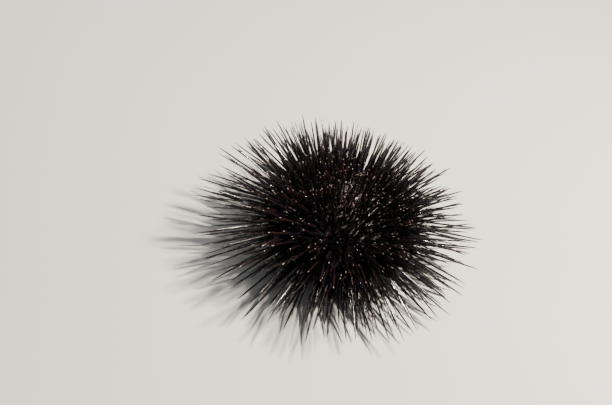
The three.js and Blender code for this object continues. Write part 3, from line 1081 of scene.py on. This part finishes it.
class URCHIN_OT_apical_disc(bpy.types.Operator):
    """The apical disc: ten plates round the scaly anal area"""

    bl_idname = "urchin.apical_disc"
    bl_label = "Apical Disc"

    def execute(self, context):
        top = AMBITUS_Z + APEX_RISE
        low = top - 2.6
        profile = [(0, low), (APICAL_RADIUS - 0.05, low)]
        profile += [(APICAL_RADIUS - 0.05, top - 0.45), (APICAL_RADIUS - 0.7, top - 0.25)]
        profile += [(2.4, top - 0.1), (1.4, top - 0.2), (0.7, top - 0.05), (0, top - 0.35)]
        disc = keep(spin_profile(profile, 90), "apical_disc_skin")
        finish = soft_finish("Apical Skin", (0.012, 0.006, 0.009), (0.03, 0.014, 0.018), 0.45)
        dress(disc, finish)
        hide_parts("apical_disc")
        bm = bmesh.new()
        for i in range(SYMMETRY):
            genital = math.radians(FIRST_AMBULACRUM_AT + (i + 0.5) * TURN)
            ocular = math.radians(FIRST_AMBULACRUM_AT + i * TURN)
            width = 1.3 if i == 0 else 1.08
            plate(bm, GENITAL_PLATES_AT, genital, top - 0.5, (0.95, width), 12, 0.42)
            plate(bm, OCULAR_PLATES_AT, ocular, top - 0.65, (0.5, 0.75), 10, 0.4)
        for k in range(ANAL_SCALES):
            reach = ANAL_RADIUS * math.sqrt((k + 2) / (ANAL_SCALES + 2))
            plate(bm, reach, k * math.radians(GOLDEN), top - 0.45, (0.19, 0.24), 7, 0.34)
        piece = keep(bm, "apical_plates")
        dress(piece, spine_finish())
        return {"FINISHED"}


def pairs(first_at, aside):
    """Sector, side and outward direction of five pairs, each as far aside of its middle."""
    for i in range(SYMMETRY):
        for side in (-1, 1):
            yield i, side, heading(first_at + i * TURN + side * aside, 0)


class URCHIN_OT_mouth(bpy.types.Operator):
    """The mouth skin with its folds and lip, mouth feet and gills"""

    bl_idname = "urchin.mouth"
    bl_label = "Mouth"

    def execute(self, context):
        skin_z = AMBITUS_Z - ORAL_DROP + PERISTOME_INSET
        profile = [(0, skin_z + POCKET_DEPTH), (POCKET_RADIUS, skin_z + POCKET_DEPTH)]
        profile += [(POCKET_RADIUS + 0.05, skin_z - 0.4), (POCKET_RADIUS + 0.35, skin_z - 0.82)]
        profile += [(LIP_RADIUS - 0.25, skin_z - 0.82), (LIP_RADIUS + 0.1, skin_z - 0.5)]
        for radius in np.linspace(LIP_RADIUS + 0.5, PERISTOME_RADIUS - 0.1, 16):
            profile.append((radius, skin_z + 0.12 + 0.08 * math.sin(radius * 9)))
        profile += [(PERISTOME_RADIUS - 0.1, skin_z + 2.5), (0, skin_z + 2.5)]
        bm = spin_profile(profile, 120)
        for vert in bm.verts:
            radius = math.hypot(vert.co.x, vert.co.y)
            if POCKET_RADIUS + 0.2 < radius < LIP_RADIUS + 0.3 and vert.co.z < skin_z:
                angle = math.atan2(vert.co.y, vert.co.x)
                vert.co.z += LIP_FOLD_DEPTH * (1 + math.cos(LIP_FOLDS * angle)) / 2
        skin = keep(bm, "mouth_skin")
        finish = soft_finish("Mouth Skin", (0.035, 0.016, 0.018), (0.1, 0.045, 0.045))
        dress(skin, finish)
        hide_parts("peristome")
        self.add_feet(skin_z + 0.1)
        self.add_gills(skin_z + 0.1)
        return {"FINISHED"}

    def add_feet(self, root_z):
        """Five pairs of short feet round the lip."""
        feet = []
        for i, side, out in pairs(FIRST_AMBULACRUM_AT, MOUTH_FEET_ASIDE):
            foot = {
                "root": out * MOUTH_FEET_AT + [0, 0, root_z],
                "direction": out * 0.6 + [0, 0, -1],
                "length": 1.7,
                "radius": 0.33,
                "number": MOUTH_FOOT_NUMBERS + 10 * i + side,
                "uv": (0.1 + 0.15 * i, 0.3 + 0.1 * side),
            }
            feet.append(foot)
        piece = plant("mouth_feet", stem(MOUTH_FOOT_PROFILE, 9), feet, 0.05)
        finish = soft_finish("Mouth Foot Skin", (0.05, 0.022, 0.022), (0.12, 0.05, 0.045))
        dress(piece, finish)

    def add_gills(self, root_z):
        """Five pairs of bushy gills at the edge of the mouth skin."""
        fronds = []
        for i, side, out in pairs(FIRST_AMBULACRUM_AT + TURN / 2, GILLS_ASIDE):
            for k in range(GILL_FRONDS):
                number = GILL_NUMBERS + 100 * i + 20 * (side > 0) + k
                lean = np.array([sway(number, 1), sway(number, 2), 0.3 * sway(number, 3)])
                frond = {
                    "root": out * GILLS_AT + [0, 0, root_z],
                    "direction": out * 0.7 + lean * 0.9 + [0, 0, -0.9],
                    "length": 0.9 + 0.6 * draw(number, 4),
                    "radius": 0.13,
                    "number": number,
                    "uv": (0.05 + 0.09 * (2 * i + (side > 0)), 0.6 + 0.01 * k),
                }
                fronds.append(frond)
        piece = plant("gills", stem(GILL_PROFILE, 6), fronds, 0.1)
        finish = soft_finish("Gill Skin", (0.09, 0.035, 0.03), (0.17, 0.07, 0.06))
        dress(piece, finish)


class URCHIN_OT_teeth(bpy.types.Operator):
    """The five teeth, which meet under the middle of the mouth"""

    bl_idname = "urchin.teeth"
    bl_label = "Teeth"

    def execute(self, context):
        finish = tooth_finish()
        top = AMBITUS_Z - ORAL_DROP + PERISTOME_INSET + POCKET_DEPTH - GAP
        for i in range(SYMMETRY):
            azimuth = math.radians(FIRST_AMBULACRUM_AT + (i + 0.5) * TURN)
            bm = bmesh.new()
            made = bmesh.ops.create_circle(bm, cap_ends=True, radius=1, segments=TOOTH_SIDES)
            own_circle = {vert: vert.co.copy() for vert in made["verts"]}
            edges = list(bm.edges)
            for step, (share, out, wide, thick) in enumerate(TOOTH_SECTIONS):
                if step:
                    ring, edges = next_ring(bm, edges)
                    own_circle = {vert: own_circle[old] for vert, old in ring.items()}
                for vert, co in own_circle.items():
                    keel = 1 + TOOTH_KEEL * max(0, -co.x) * (1 - share)
                    height = top - TOOTH_LENGTH * share
                    vert.co = Vector((out + co.x * thick * keel, co.y * wide, height))
            bmesh.ops.contextual_create(bm, geom=edges)
            turn = Matrix.Rotation(azimuth, 3, "Z")
            bmesh.ops.rotate(bm, verts=bm.verts, cent=(0, 0, 0), matrix=turn)
            tooth = keep(bm, f"tooth_{i + 1}_enamel")
            dress(tooth, finish)
            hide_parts(f"tooth_{i + 1}")
        return {"FINISHED"}


def area_light(name, place, size, energy, colour):
    """Adds a square lamp that shines at the middle of the urchin."""
    light = bpy.data.lights.new(name, "AREA")
    light.shape = "SQUARE"
    light.size = size
    light.energy = energy
    light.color = colour
    lamp = bpy.data.objects.new(name, light)
    lamp.location = place
    aim = Vector(LIGHTS_AIM) - Vector(place)
    lamp.rotation_euler = aim.to_track_quat("-Z", "Y").to_euler()
    bpy.context.scene.collection.objects.link(lamp)


class URCHIN_OT_stage(bpy.types.Operator):
    """The floor, the light and the camera"""

    bl_idname = "urchin.stage"
    bl_label = "Stage"

    def execute(self, context):
        bm = bmesh.new()
        bmesh.ops.create_grid(bm, x_segments=2, y_segments=2, size=FLOOR_REACH)
        mesh = bpy.data.meshes.new("floor")
        bm.to_mesh(mesh)
        bm.free()
        floor = bpy.data.objects.new("floor", mesh)
        context.scene.collection.objects.link(floor)
        mesh.materials.append(floor_finish())
        for name, place, size, energy, colour in LIGHTS:
            area_light(name, place, size, energy, colour)
        world = bpy.data.worlds.new("studio")
        world.use_nodes = True
        background = world.node_tree.nodes["Background"]
        background.inputs["Color"].default_value = SKY_COLOUR
        background.inputs["Strength"].default_value = SKY_STRENGTH
        context.scene.world = world
        self.add_camera(context.scene)
        return {"FINISHED"}

    def add_camera(self, scene):
        """The camera, turned so that the spines' lines meet at the same pixel as in the photo."""
        stage = scene.urchin_stage
        cam = bpy.data.cameras.new("camera")
        cam.lens = stage.lens
        cam.sensor_width = SENSOR_WIDTH
        camera = bpy.data.objects.new("camera", cam)
        up, side = math.sin(stage.elevation), math.cos(stage.elevation)
        towards = Vector((0, -side, up))
        rolled = Matrix.Rotation(stage.roll, 3, towards)
        right = rolled @ Vector((1, 0, 0))
        above = rolled @ Vector((0, up, side))
        pixel = stage.distance * SENSOR_WIDTH / stage.lens / FRAME_WIDTH
        aim = Vector(AXIS) + Vector((0, 0, CORE_HEIGHT))
        aim += right * (FRAME_MIDDLE[0] - CORE_AT[0]) * pixel
        aim += above * (CORE_AT[1] - FRAME_MIDDLE[1]) * pixel
        turn = Matrix((right, above, towards)).transposed().to_4x4()
        camera.matrix_world = Matrix.Translation(aim + stage.distance * towards) @ turn
        scene.collection.objects.link(camera)
        scene.camera = camera


class URCHIN_PT_panel(bpy.types.Panel):
    """Sizes, colours and pieces of the urchin"""

    bl_idname = "URCHIN_PT_panel"
    bl_label = "Sea Urchin"
    bl_space_type = "VIEW_3D"
    bl_region_type = "UI"
    bl_category = "Urchin"

    def draw(self, context):
        for group in SETTINGS:
            settings = getattr(context.scene, group)
            for name in settings.__annotations__:
                self.layout.prop(settings, name)
        for operator in OPERATORS:
            self.layout.operator(operator.bl_idname)


OPERATORS = (
    URCHIN_OT_skin,
    URCHIN_OT_long_spines,
    URCHIN_OT_small_spines,
    URCHIN_OT_tube_feet,
    URCHIN_OT_pedicellariae,
    URCHIN_OT_apical_disc,
    URCHIN_OT_mouth,
    URCHIN_OT_teeth,
    URCHIN_OT_stage,
)
SETTINGS = {
    "urchin_spines": UrchinSpines,
    "urchin_colours": UrchinColours,
    "urchin_stage": UrchinStage,
}
CLASSES = (*SETTINGS.values(), *OPERATORS, URCHIN_PT_panel)


def register():
    for cls in CLASSES:
        bpy.utils.register_class(cls)
    for name, group in SETTINGS.items():
        setattr(bpy.types.Scene, name, bpy.props.PointerProperty(type=group))


def unregister():
    for name in SETTINGS:
        delattr(bpy.types.Scene, name)
    for cls in reversed(CLASSES):
        bpy.utils.unregister_class(cls)


def main():
    register()
    for operator in OPERATORS:
        getattr(bpy.ops.urchin, operator.bl_idname.split(".")[1])()


if __name__ == "__main__":
    main()
